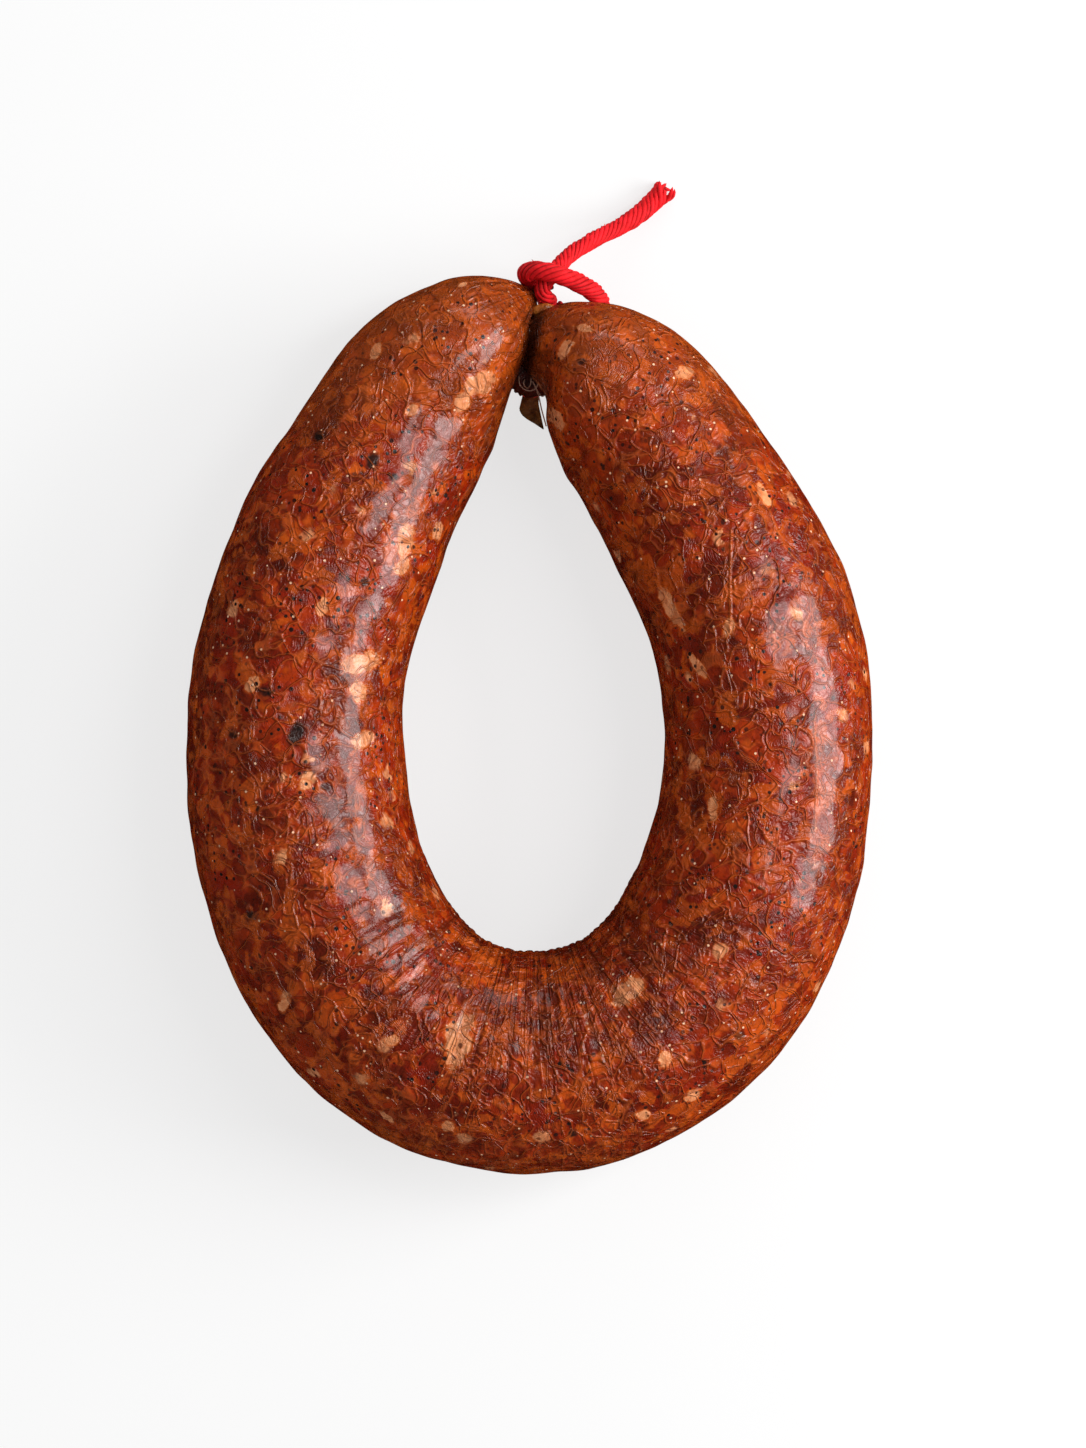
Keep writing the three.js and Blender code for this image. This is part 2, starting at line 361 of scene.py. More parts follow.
def link_rows():
    """Rows along the link: place, direction, radius, height, distance and end share."""
    left_shoulder = shoulder(-1, LEFT_SHOULDER_LEVEL, LEFT_LEAN, END_RADIUS + CREASE_GAP / 2)
    right_shoulder = shoulder(1, RIGHT_SHOULDER_LEVEL, RIGHT_LEAN,
                              END_RADIUS + CREASE_GAP / 2 + RIGHT_STAND_OFF)
    left_side = (RING_MIDDLE - RING_REACH / 2, WIDEST_LEVEL)
    right_side = (RING_MIDDLE + RING_REACH / 2, WIDEST_LEVEL)
    foot = (RING_MIDDLE, WIDEST_LEVEL - BEND_DEPTH)
    end_size = 2 * END_RADIUS
    left_size = CALIBRE - LEFT_SIDE_TAPER
    right_size = CALIBRE - RIGHT_SIDE_TAPER
    left_end = stretch(LEFT_POLE, LEFT_POLE_LEAN + 180, LEFT_POLE_HANDLE,
                       left_shoulder, LEFT_LEAN + 180, LEFT_END_HANDLE)
    right_end = stretch(right_shoulder, RIGHT_LEAN, RIGHT_END_HANDLE,
                        RIGHT_POLE, RIGHT_POLE_LEAN, RIGHT_POLE_HANDLE)
    middle = [
        (stretch(left_shoulder, LEFT_LEAN + 180, SHOULDER_HANDLE, left_side, -90, SIDE_HANDLE),
         taper(end_size, left_size - LEFT_MID_TAPER, left_size)),
        (stretch(left_side, -90, BEND_HANDLE, foot, 0, FOOT_HANDLE),
         taper(left_size, CALIBRE + LEFT_HAUNCH_SWELL, CALIBRE)),
        (stretch(foot, 0, FOOT_HANDLE, right_side, 90, BEND_HANDLE),
         taper(CALIBRE, CALIBRE - RIGHT_HAUNCH_TAPER, right_size)),
        (stretch(right_side, 90, SIDE_HANDLE, right_shoulder, RIGHT_LEAN, SHOULDER_HANDLE),
         taper(right_size, right_size - RIGHT_MID_TAPER, end_size)),
    ]
    rows = []

    def add(part, shares, radius, height, end_share):
        points, length = part
        reached = np.linspace(0, 1, len(points))
        tangents = np.gradient(points, axis=0)
        tangents /= np.linalg.norm(tangents, axis=1)[:, None]
        base = rows[-1][-1][6] if rows else 0.0
        spots = [np.interp(shares, reached, column)
                 for column in (*points[:, :2].T, *tangents[:, :2].T)]
        rows.append(np.stack([*spots, radius, height, base + shares * length, end_share], axis=1))

    crowded = np.sin(np.linspace(1, 0, END_ROWS) * math.pi / 2)
    add(left_end, 1 - crowded, *rounded(crowded, LEFT_END, LEFT_POLE_HEIGHT), crowded)
    for part, thickness in middle:
        shares = np.linspace(0, 1, int(part[1] / ROW) + 1)[1:]
        radius = thickness(shares)
        add(part, shares, radius, radius - FLAT_DEPTH, shares * 0)
    crowded = np.sin(np.linspace(0, 1, END_ROWS) * math.pi / 2)[1:]
    add(right_end, crowded, *rounded(crowded, RIGHT_END, RIGHT_POLE_HEIGHT), crowded)
    return np.concatenate(rows)


# ---------------------------------------------------------------- the skin


LUMPS = [(17, 0.55, 0.0), (7, 0.26, 5.0), (3.2, 0.12, 11.0)]    # size, reach, seed
FOLD_DEPTH = 0.34                 # transverse wrinkles inside the bend
PLEAT_DEPTH = 0.5                 # pleats towards the tied ends
UPPER_SIDE = 12                   # above this height a point is on the upper side


def unevenness(points, size, reach, seed=0.0):
    """Noise at each point, up to about reach, with features of the given size."""
    flat = points.reshape(-1, 3) / size + seed
    values = [noise.noise(p) for p in flat]
    return np.array(values).reshape(points.shape[:-1]) * reach


def link_points():
    """Points of the skin with its lumps, transverse wrinkles and gathered pleats."""
    rows = link_rows()
    px, py, tx, ty, radius, height, reached, end_share = rows.T[:, :, None]
    turn = np.linspace(-math.pi / 2, 3 * math.pi / 2, AROUND + 1)[None, :]
    out = np.cos(turn)
    rise = np.sin(turn)
    base = np.stack([px + radius * out * ty, py - radius * out * tx,
                     height + radius * rise], axis=2)
    outward = np.stack([out * ty, -out * tx, rise + 0 * tx], axis=2)

    lump = sum(unevenness(base, size, reach, seed) for size, reach, seed in LUMPS)
    length = reached.max()
    round_the_link = np.stack([np.cos(turn), np.sin(turn)], axis=2) * 1.1
    lay = np.concatenate([np.broadcast_to(round_the_link, (*base.shape[:2], 2)),
                          np.broadcast_to(reached[:, :, None], (*base.shape[:2], 1)) / 2.6], axis=2)
    fold = 1 - np.abs(unevenness(lay, 1.0, 2.2, 3.0))
    inner = smoothstep(-out + 0.5 * rise, -0.35, 1.0) * smoothstep(-py, 20, 58)
    fold = np.clip(fold, 0, 1) ** 2.0
    lump = lump - inner * FOLD_DEPTH * fold

    pleat_lay = np.concatenate([
        np.broadcast_to(np.stack([np.cos(turn), np.sin(turn)], axis=2) * 5.0,
                        (*base.shape[:2], 2)),
        np.broadcast_to(reached[:, :, None], (*base.shape[:2], 1)) / 14], axis=2)
    gathered = smoothstep(end_share, 0.45, 0.95)
    pleat = np.abs(unevenness(pleat_lay, 1.0, 1.0, 9.0))
    lump = lump - gathered * PLEAT_DEPTH * (1 - pleat) ** 3 * np.minimum(1, radius / 6)
    lump = lump * np.minimum(1, radius / 5)

    points = base + outward * lump[:, :, None]
    middle_row = reached < length / 2
    pressed = middle_row & (points[:, :, 1] < CREASE_TOP[1]) & (points[:, :, 1] > 20)
    limit = crease_x(points[:, :, 1]) - CREASE_GAP / 2
    points[:, :, 0] = np.where(pressed, np.minimum(points[:, :, 0], limit), points[:, :, 0])
    points[:, :, 2] = np.maximum(points[:, :, 2], 0)
    points[0, :, :] = points[0, 0, :]
    points[-1, :, :] = points[-1, 0, :]
    points[:, -1, :] = points[:, 0, :]
    # painted shade: a mask for the crease where the two ends meet, darkened in the casing material
    away = points[:, :, 0] - crease_x(points[:, :, 1])
    level = points[:, :, 1]
    crease_shade = smoothstep(-np.abs(away), -2.0, -0.4) * smoothstep(level, 52, 60)
    crease_shade = crease_shade * smoothstep(-level, -77, -71)
    masks = {
        "gather": np.broadcast_to(gathered, level.shape),
        "bend": inner,
        "crease_shade": crease_shade,
        "radial": smoothstep(-level, 36, 50) * smoothstep(-np.abs(points[:, :, 0]), -40, -14),
        "flank": smoothstep(np.abs(out), 0.72, 0.97) * smoothstep(radius, 4, 12),
        "fat": nearness(points, FAT_BITS),
        "dark": nearness(points, DARK_BITS),
    }
    for name, route in CREASES.items():
        masks[name] = beside(points, route)
    return points, masks, length


# Chosen bits that show through the upper side: X, Y, half length, half width, lean in degrees
FAT_BITS = [
    (-26.6, 64.1, 1.9, 1.0, 70), (-8.6, 58.3, 3.1, 1.8, 32), (-11.6, 55.0, 1.9, 1.4, 60),
    (-20.2, 53.4, 1.4, 0.9, 20), (-21.4, 31.0, 3.2, 1.3, 80), (-22.2, 26.6, 1.8, 1.2, 40),
    (-35.5, 19.4, 1.5, 1.0, 60), (-28.8, 10.0, 3.1, 1.9, 10), (-29.4, 5.3, 1.9, 1.5, 80),
    (-47.4, 6.4, 1.7, 1.3, 70), (-28.8, -3.2, 2.1, 1.5, 30), (-38.2, -10.8, 1.3, 1.1, 0),
    (-12.2, -54.6, 4.8, 2.5, 78), (-13.9, -69.4, 1.2, 1.0, 0), (-23.4, -54.3, 1.3, 0.9, 0),
    (-42.2, -48.6, 1.4, 1.0, 50), (23.1, -57.8, 1.5, 1.2, 70), (16.6, -46.4, 3.0, 1.9, 40),
    (19.4, -67.6, 1.5, 0.9, 10), (28.2, -64.4, 1.7, 1.1, 30), (24.2, 19.6, 4.4, 1.0, -62),
    (29.0, 9.5, 2.6, 0.7, -55), (40.4, 39.0, 2.4, 0.8, -65), (34.2, 16.2, 1.5, 0.9, 80),
    (31.4, -14.8, 2.2, 0.8, 85), (6.2, 64.4, 2.2, 1.0, 60), (9.4, 68.0, 1.7, 0.7, -15),
    (26.8, 60.4, 1.6, 1.1, 20), (4.6, 52.6, 2.4, 1.1, -55), (-11.6, 76.0, 0.9, 0.5, 10),
]
DARK_BITS = [
    (-26.9, 44.8, 1.8, 1.2, 70), (-23.3, 41.8, 0.9, 0.7, 0), (-39.8, -2.2, 2.3, 1.4, 62),
    (-45.2, 5.0, 1.5, 0.9, -15), (-50.7, -2.3, 1.1, 0.8, 0), (-36.2, 49.2, 1.2, 0.9, 30),
    (-47.6, -33.4, 1.1, 0.9, 0), (-34.8, -11.3, 1.2, 0.7, 0), (-28.2, 23.8, 0.9, 0.7, 40),
    (7.4, -70.6, 0.9, 0.7, 0), (36.0, -54.0, 1.0, 0.8, 30), (9.0, 62.0, 0.9, 0.6, 0),
]
# Creases that run down the right limb, as places their line passes
CREASES = {
    "crease_upper": [(37.9, 40.2), (41.2, 36.4), (43.6, 30.2), (47.4, 26.2)],
    "crease_middle": [(34.6, 33.0), (34.3, 25.0), (34.4, 16.4)],
    "crease_lower": [(48.8, 0.6), (49.3, -9.0), (48.9, -19.2)],
}


def nearness(points, bits):
    """About 1 in the middle of the nearest bit, 0.5 at its rim and 0 well outside it."""
    best = np.zeros(points.shape[:2])
    upper = points[:, :, 2] > UPPER_SIDE
    for x, y, half_length, half_width, lean in bits:
        turn = math.radians(lean)
        dx = points[:, :, 0] - x
        dy = points[:, :, 1] - y
        along = (dx * math.cos(turn) + dy * math.sin(turn)) / half_length
        across = (dy * math.cos(turn) - dx * math.sin(turn)) / half_width
        best = np.maximum(best, upper * np.exp(-0.7 * (along ** 2 + across ** 2)))
    return best


def beside(points, route):
    """Signed distance in mm from a line on the upper side, and 5 away from its ends."""
    knots = np.array(route)
    spots = np.linspace(knots[0, 1], knots[-1, 1], 40)
    order = np.argsort(knots[:, 1])
    across = np.interp(points[:, :, 1], knots[order, 1], knots[order, 0])
    low, high = min(spots), max(spots)
    on = (points[:, :, 1] > low) & (points[:, :, 1] < high) & (points[:, :, 2] > UPPER_SIDE)
    return np.where(on, np.clip(points[:, :, 0] - across, -5, 5), 5.0)


def make_skin():
    """The link, with each mask kept as an attribute for its material."""
    points, masks, length = link_points()
    bm = bmesh.new()
    layers = {name: bm.verts.layers.float.new(name) for name in masks}
    rows, columns = points.shape[0] - 1, points.shape[1] - 1
    bm.loops.layers.uv.verify()
    made = bmesh.ops.create_grid(
        bm, x_segments=rows, y_segments=columns, size=0.5, calc_uvs=True)
    for vert in made["verts"]:
        row = round((vert.co.x + 0.5) * rows)
        column = round((vert.co.y + 0.5) * columns)
        vert.co = points[row, column] * MM
        for name, mask in masks.items():
            vert[layers[name]] = mask[row, column]
    bmesh.ops.remove_doubles(bm, verts=made["verts"], dist=MERGE)
    skin = add_piece("link_skin", bm, ["sausage"])
    skin.data.materials.append(casing_paint(length * MM))


CREAM = (0.66, 0.26, 0.11)
AMBER = (0.50, 0.080, 0.003)
ORANGE = (0.335, 0.028, 0.0006)
RED = (0.215, 0.010, 0.0006)
BROWN = (0.10, 0.0062, 0.0007)
UMBER = (0.040, 0.006, 0.002)
SOOT = (0.012, 0.007, 0.006)
SHADE = (0.016, 0.003, 0.001)
TAN = (0.36, 0.066, 0.006)        # lighter and more orange towards the tied ends
FOLD = (0.50, 0.095, 0.014)
SPECK_AND_GLINT = (0.80, 0.48, 0.30)


def casing_paint(length):
    """Cured meat seen through a glossy, crinkled casing."""
    paint = Paint("casing")
    spot = paint.object
    bent = paint.warped(spot, 3.2 * MM, 1.7 * MM, 2.0)

    # meat: broad zones, then a mosaic of shards
    zone = paint.noise(spot, 12 * MM, 2.0)["Fac"]
    colour = paint.blend(paint.fade(zone, 0.36, 0.64), BROWN, RED)
    patch = paint.noise(bent, 5 * MM, 3.0, 0.6)["Fac"]
    colour = paint.blend(paint.fade(patch, 0.44, 0.66, 0.0, 0.9), colour, ORANGE)
    shards = paint.cells(bent, 4.2 * MM)["Color"]
    colour = paint.blend(paint.fade(paint.pick(shards, 0), 0.56, 0.76, 0.0, 0.4), colour, ORANGE)
    colour = paint.blend(paint.fade(paint.pick(shards, 1), 0.66, 0.84, 0.0, 0.45), colour, BROWN)
    fine = paint.cells(paint.moved(bent, shift=(0.3, 0.1, 0)), 2.5 * MM, "SMOOTH_F1", 0.5)
    tint = paint.pick(fine["Color"], 0)
    colour = paint.blend(paint.fade(tint, 0.58, 0.80, 0.0, 0.5), colour, AMBER)
    colour = paint.blend(paint.fade(tint, 0.36, 0.20, 0.0, 0.4), colour, UMBER)

    split = paint.node("ShaderNodeSeparateXYZ")
    paint.put(split.inputs[0], spot)
    ends = paint.fade(split.outputs[1], 40 * MM, 74 * MM, 0.0, 0.5)
    colour = paint.blend(ends, colour, TAN)

    # fat: blurred amber lumps under the surface, then pale bits with softly torn rims
    deep = paint.cells(paint.moved(bent, shift=(0.9, 0.4, 0)), 2.9 * MM)
    lucky = paint.fade(paint.pick(deep["Color"], 1), 0.66, 0.80)
    mask = paint.both(lucky, paint.fade(deep["Distance"], 0.50, 0.12, 0.0, 0.7))
    colour = paint.blend(mask, colour, AMBER)
    tear = paint.noise(spot, 1.5 * MM, 3.0, 0.6)["Fac"]
    veil = paint.fade(tear, 0.30, 0.62, 0.50, 0.95)
    place = paint.moved(paint.warped(spot, 2.0 * MM, 1.3 * MM, 2.0), shift=(3.1, 3.1, 0))
    bits = paint.cells(place, 4.4 * MM)
    lucky = paint.fade(paint.pick(bits["Color"], 0), 0.91, 0.925)
    mask = paint.both(lucky, paint.fade(bits["Distance"], 0.40, 0.22))
    colour = paint.blend(paint.both(mask, veil), colour, CREAM)
    ragged = paint.noise(bent, 2.6 * MM, 3.0, 0.6)["Fac"]
    chosen = paint.plus(paint.attribute("fat"), paint.both(ragged, 1.1))
    colour = paint.blend(paint.fade(chosen, 0.86, 1.10, 0.0, 0.7), colour, AMBER)
    mask = paint.fade(chosen, 1.04, 1.16)
    colour = paint.blend(paint.both(mask, veil), colour, CREAM)

    # dark blotches, pepper, and pale specks that are partly painted glints
    chosen = paint.plus(paint.attribute("dark"), paint.both(ragged, 0.7))
    colour = paint.blend(paint.fade(chosen, 0.62, 1.12, 0.0, 0.95), colour, SOOT)
    crowd = paint.fade(zone, 0.40, 0.60, 0.35, 1.0)
    for size, reach, rare, shift in ((1.15, 0.32, 0.66, 0.1), (1.9, 0.24, 0.50, 0.5)):
        dots = paint.cells(paint.moved(spot, shift=(shift, 0, shift)), size * MM)
        lucky = paint.fade(paint.pick(dots["Color"], 0), rare, rare + 0.02)
        mask = paint.both(lucky, paint.fade(dots["Distance"], reach, reach * 0.75))
        colour = paint.blend(paint.both(mask, crowd), colour, SOOT)
    # pale specks on tiny raised bumps, partly a painted glint on each bump
    speck_and_glint_cells = paint.cells(paint.moved(spot, shift=(0.7, 0.7, 0)), 2.3 * MM)
    speck_and_glint = paint.fade(speck_and_glint_cells["Distance"], 0.115, 0.08)
    colour = paint.blend(speck_and_glint, colour, SPECK_AND_GLINT)

    # crinkles: curly ridges, straight-sided folds and fine swirled lines; painted shade runs along
    # one side of each ridge and in the troughs of folds and pleats, and a painted sheen along the
    # flanks
    curly = paint.warped(spot, 6 * MM, 2.6 * MM, 1.0)
    seen = paint.fade(patch, 0.40, 0.52)
    side = paint.plus(paint.noise(curly, 5.2 * MM, 1.0)["Fac"], -0.5)
    first = paint.fade(paint.sum("ABSOLUTE", side), 0.034, 0.0)
    dip_and_shade = paint.both(paint.fade(side, 0.015, 0.045), paint.fade(side, 0.10, 0.05))
    side = paint.noise(paint.moved(curly, shift=(0.5, 0.2, 0.9)), 2.9 * MM, 1.0)["Fac"]
    side = paint.plus(side, -0.5)
    second = paint.fade(paint.sum("ABSOLUTE", side), 0.055, 0.0)
    second = paint.both(second, paint.fade(zone, 0.56, 0.44))
    second_dip_and_shade = paint.both(paint.fade(side, 0.03, 0.07), paint.fade(side, 0.14, 0.08))
    dip_and_shade = paint.sum("MAXIMUM", dip_and_shade, paint.both(second_dip_and_shade, 0.5))
    edges = paint.cells(curly, 4.8 * MM, "DISTANCE_TO_EDGE")["Distance"]
    edges = paint.both(paint.fade(edges, 0.055, 0.0), seen)
    line = paint.sum("MAXIMUM", paint.sum("MAXIMUM", first, edges), paint.both(second, 0.7))
    swirl = paint.warped(spot, 6.5 * MM, 7.0 * MM, 1.0)
    stria = paint.noise(paint.moved(swirl, scale=(2.6, 0.5, 1.0)), 0.8 * MM, 1.0)["Fac"]
    stria = paint.both(stria, paint.fade(patch, 0.62, 0.44))
    lay = paint.moved(paint.uv, scale=(6.0, 24.0, 1.0))
    pleats = paint.noise(lay, 1.0, 2.0, 0.5, 0.5)["Fac"]
    gather = paint.attribute("gather")
    lay = paint.moved(paint.uv, scale=(length / (1.7 * MM), 4.0, 1.0))
    folds = paint.noise(lay, 1.0, 2.0, 0.6, 0.7)["Fac"]
    bend = paint.attribute("bend")
    radial = paint.noise(paint.moved(paint.uv, scale=(length / (3.0 * MM), 3.2, 1.0)), 1.0, 1.0,
                         0.5, 0.25)["Fac"]
    radial = paint.plus(radial, -0.5)
    across = paint.both(paint.attribute("radial"), paint.fade(tear, 0.42, 0.54))
    line = paint.sum("MAXIMUM", line, paint.both(
        across, paint.fade(paint.sum("ABSOLUTE", radial), 0.045, 0.0)))
    dip_and_shade = paint.sum("MAXIMUM", dip_and_shade, paint.both(
        across, paint.both(paint.fade(radial, 0.02, 0.06), paint.fade(radial, 0.15, 0.08))))
    lay = paint.moved(paint.uv, scale=(length / (6 * MM), 60.0, 1.0))
    streaks_and_sheen = paint.noise(lay, 1.0, 3.0, 0.6, 1.2)["Fac"]
    flank = paint.attribute("flank")
    dimples = paint.noise(spot, 1.1 * MM, 2.0, 0.6)["Fac"]
    # painted shade along one side of each ridge and radial wrinkle, which is also a shallow groove
    # in the bump
    colour = paint.blend(paint.both(dip_and_shade, 0.42), colour, BROWN)
    colour = paint.blend(paint.both(line, 0.34), colour, FOLD)
    # painted shade in the troughs of the transverse folds inside the bend
    colour = paint.blend(paint.both(paint.both(bend, 0.5), paint.fade(folds, 0.56, 0.38)),
                         colour, UMBER)
    # along the flanks: lighter amber bands that paint a sheen, and darker brown streaks
    mask = paint.both(flank, paint.fade(streaks_and_sheen, 0.54, 0.68, 0.0, 0.35))
    colour = paint.blend(mask, colour, AMBER)
    mask = paint.both(flank, paint.fade(streaks_and_sheen, 0.46, 0.32, 0.0, 0.4))
    colour = paint.blend(mask, colour, BROWN)
    # painted shade in the troughs of the pleats towards the tied ends
    mask = paint.both(gather, paint.fade(pleats, 0.52, 0.36, 0.0, 0.6))
    colour = paint.blend(mask, colour, UMBER)
    # painted shade in the crease between the two ends
    colour = paint.blend(paint.both(paint.attribute("crease_shade"), 0.9), colour, SHADE)

    # heights in mm, all on one bump
    raised = [paint.both(dimples, 0.17), paint.both(stria, 0.28), paint.both(line, 0.27),
              paint.both(dip_and_shade, -0.08),
              paint.both(paint.both(pleats, gather), 1.3), paint.both(speck_and_glint, 0.1),
              paint.both(paint.both(folds, bend), 1.0),
              paint.both(paint.both(streaks_and_sheen, flank), 0.15), paint.both(patch, 0.6)]
    for name in CREASES:
        gap = paint.sum("ABSOLUTE", paint.attribute(name))
        crease = paint.fade(gap, 0.45, 0.0)
        colour = paint.blend(paint.both(crease, 0.45), colour, FOLD)
        raised.append(paint.both(crease, 0.22))
    normal = paint.bump(paint.plus(*raised), MM)
    rough = paint.fade(tear, 0.3, 0.7, 0.22, 0.32)
    paint.set(Base_Color=colour, Roughness=rough, Normal=normal, Coat_Weight=0.27,
              Coat_Roughness=0.12, Specular_IOR_Level=0.30)
    return paint.material


# ---------------------------------------------------------------- gathered ends

# Bare casing. A turned profile is a list of radius and height, in mm.
RIGHT_NECK = (0.4, 62.3)
RIGHT_SKIRT = [(0.0, 12.2), (3.2, 12.0), (4.4, 10.4), (4.8, 8.8), (4.8, 7.4), (4.4, 6.8),
               (3.4, 6.9), (1.3, 6.6), (0.9, 6.0), (0.9, 0.75), (1.6, 0.4), (0.0, 0.3)]
LEFT_NECK_TURN = 36
LEFT_NECK = [(0.0, 0.0), (3.2, 0.1), (2.7, 1.0), (1.9, 1.7), (0.95, 2.3), (0.9, 5.6),
             (1.25, 6.1), (1.2, 6.5), (0.0, 6.6)]
PLEATS = 13


def pleated_points(profile, around, seed):
    """A turned profile whose rim falls in pleats; rows run from its start to its end."""
    outline, _ = evenly(profile, 0.35)
    turn = np.linspace(0.0, TURN, around + 1)
    points = []
    for row, (radius, height) in enumerate(outline):
        ripple = np.array([math.sin(PLEATS * t + 0.25 * row * math.sin(3 * t + seed))
                           for t in turn])
        radii = radius * (1 + 0.045 * ripple * min(1.0, radius / 3))
        points.append(np.stack([radii * np.cos(turn), radii * np.sin(turn),
                                np.full(around + 1, height)], axis=1))
    points = np.array(points)
    points[:, -1] = points[:, 0]
    return points


def make_necks():
    """The gathered casing at each end, on the right under the tie and on the left in it."""
    neck = gut_paint("gathered_casing", UMBER, BROWN)
    bm = bmesh.new()
    points = pleated_points(RIGHT_SKIRT, 96, 0.4) + np.array([*RIGHT_NECK, 0.0])
    rolled_grid(bm, points * MM)
    right = add_piece("right_gather", bm, ["sausage"])
    right.data.materials.append(neck)
    bm = bmesh.new()
    turned = pleated_points(LEFT_NECK, 96, 1.3)
    ahead = Vector((*heading(LEFT_NECK_TURN).xy, -0.15)).normalized()
    start = Vector((*LEFT_POLE, LEFT_POLE_HEIGHT)) - heading(LEFT_NECK_TURN) * 3
    spin = ahead.to_track_quat("Z", "Y").to_matrix()
    rolled_grid(bm, (turned @ np.array(spin).T + np.array(start)) * MM)
    left = add_piece("left_gather", bm, ["sausage"])
    left.data.materials.append(neck)


TAIL_OUTLINE = [(-1.2, 63.0), (1.5, 63.0), (1.7, 60.0), (1.5, 57.1), (2.5, 52.3), (0.7, 53.5),
                (-0.5, 54.2), (-1.5, 55.0), (-2.0, 56.0), (-1.6, 57.7), (-1.0, 60.0)]
TAIL_THICKNESS = 0.7
TAIL_SHADES = ((0.09, 0.035, 0.006), (0.30, 0.14, 0.03))


def make_tail():
    """The flattened end of the casing, a leaf that lies on the table."""
    bm = bmesh.new()
    corners = [bm.verts.new((x * MM, y * MM, 0.3 * MM)) for x, y in TAIL_OUTLINE]
    leaf = bm.faces.new(corners)
    grown = bmesh.ops.extrude_face_region(bm, geom=[leaf])["geom"]
    lifted = [v for v in grown if isinstance(v, bmesh.types.BMVert)]
    bmesh.ops.translate(bm, verts=lifted, vec=(0, 0, TAIL_THICKNESS * MM))
    bmesh.ops.bevel(bm, geom=bm.edges[:], offset=0.16 * MM, segments=2, affect="EDGES")
    bmesh.ops.triangulate(bm, faces=bm.faces[:])
    bmesh.ops.subdivide_edges(bm, edges=bm.edges[:], cuts=3, use_grid_fill=True)
    for vert in bm.verts:
        x, y, z = vert.co / MM
        wave = noise.noise((x / 1.6, y / 3.0, 2.0))
        vert.co.z = max(0.05, z + 0.35 * wave + 0.06 * max(0, 57 - y)) * MM
    tail = add_piece("casing_tail", bm, ["sausage"])
    tail.data.materials.append(gut_paint("dry_casing", *TAIL_SHADES))


FOLD_ROUTE = [(0.6, 71.2, 13.8), (1.3, 72.3, 14.5), (2.9, 72.9, 15.0), (4.5, 72.9, 14.5)]
FOLD_RADII = [0.6, 1.0, 0.75, 0.2]
FOLD_FLATNESS = 0.55
FOLD_SHADES = ((0.22, 0.040, 0.003), (0.52, 0.15, 0.02))


def make_fold():
    """A small lip of casing that stands out on the right end beside the twine."""
    line, _ = evenly(smooth_through(FOLD_ROUTE), 0.15)
    radii = np.interp(np.linspace(0, 3, len(line)), range(4), FOLD_RADII)
    radii[0] = radii[-1] = 0.0
    bm = bmesh.new()
    points = tube_points(line, radii, 28)
    points[:, :, 2] = line[:, None, 2] + (points[:, :, 2] - line[:, None, 2]) * FOLD_FLATNESS
    rolled_grid(bm, points * MM)
    fold = add_piece("casing_fold", bm, ["sausage"])
    fold.data.materials.append(gut_paint("fold_casing", *FOLD_SHADES))


THREADS = [
    [(-1.9, 61.0), (-1.9, 59.8), (-1.2, 58.9), (0.0, 58.5), (1.1, 59.0), (1.5, 60.2)],
    [(-0.9, 60.6), (-1.1, 59.6), (-0.5, 58.9), (0.1, 59.6), (0.2, 60.8)],
    [(0.4, 60.2), (0.9, 59.2), (1.5, 58.2), (2.2, 57.8), (3.0, 58.3)],
    [(0.9, 60.4), (1.7, 59.6), (2.5, 58.6), (3.4, 58.0)],
]
STRAY_THREAD = [(1.2, 58.6, 11.4), (1.6, 57.4, 9.4), (2.1, 55.4, 6.0), (2.9, 52.8, 2.4)]
THREAD_RADIUS = 0.12
THREAD_LIFT = 0.25                # from the skirt to the middle of a thread
THREAD_SHADES = ((0.34, 0.15, 0.09), (0.60, 0.36, 0.26))


def on_skirt(x, y):
    """A point just above the skirt of the right neck."""
    radii, heights = zip(*RIGHT_SKIRT[:5])
    away = math.hypot(x - RIGHT_NECK[0], y - RIGHT_NECK[1])
    return (x, y, float(np.interp(away, radii, heights)) + THREAD_LIFT)


def make_threads():
    """Pale threads of torn casing over the gathered neck of the right end."""
    bm = bmesh.new()
    routes = [[on_skirt(x, y) for x, y in route] for route in THREADS]
    for route in [*routes, STRAY_THREAD]:
        line, _ = evenly(smooth_through(route), 0.2)
        radii = np.full(len(line), THREAD_RADIUS)
        radii[0] = radii[-1] = 0.0
        rolled_grid(bm, tube_points(line, radii, 6) * MM)
    threads = add_piece("casing_threads", bm, ["sausage"])
    threads.data.materials.append(gut_paint("thread_casing", *THREAD_SHADES))


def gut_paint(name, dark, light):
    """Bare gathered casing: dark and glossy, with fine lengthwise lines."""
    paint = Paint(name)
    shade = paint.noise(paint.object, 1.8 * MM, 3.0, 0.6, 0.6)["Fac"]
    colour = paint.blend(paint.fade(shade, 0.34, 0.68), dark, light)
    lines = paint.noise(paint.moved(paint.object, scale=(1, 1, 0.25)), 0.5 * MM, 2.0)["Fac"]
    paint.set(Base_Color=colour, Roughness=0.34, Normal=paint.bump(lines, 0.25 * MM),
              Coat_Weight=0.3, Coat_Roughness=0.12, Specular_IOR_Level=0.4)
    return paint.material


# ---------------------------------------------------------------- twine

